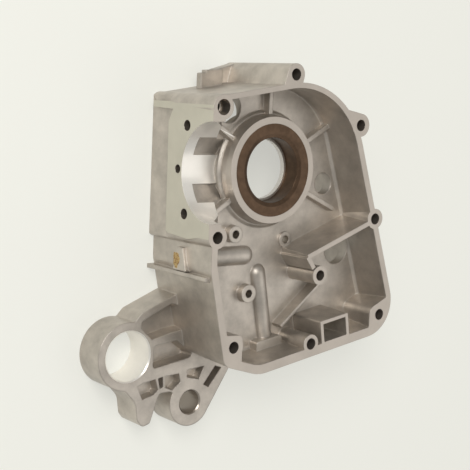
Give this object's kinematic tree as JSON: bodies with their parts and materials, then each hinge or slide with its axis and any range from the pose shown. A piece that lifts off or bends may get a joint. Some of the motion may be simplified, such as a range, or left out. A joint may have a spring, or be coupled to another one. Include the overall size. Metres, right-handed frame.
{
  "type": "motorcycle crankcase half",
  "caption": "Die cast aluminium crankcase half with an iron bearing ring, drafted walls, bolt bosses, ribs, oil chamber and hanger bracket.",
  "frame": {"origin": "on the crankshaft axis, in the plane of the rear cover face", "axes": "+Z along the crankshaft towards the parting face, -X along the cylinder axis, +Y up the engine"},
  "size_m": [0.1977, 0.2274, 0.064],
  "materials": {
    "cast_aluminium": "as cast",
    "bearing_iron": "turned"
  },
  "bodies": {
    "root": {"crankcase_casting": "cast_aluminium", "bearing_seat_ring": "bearing_iron"}
  },
  "joints": []
}
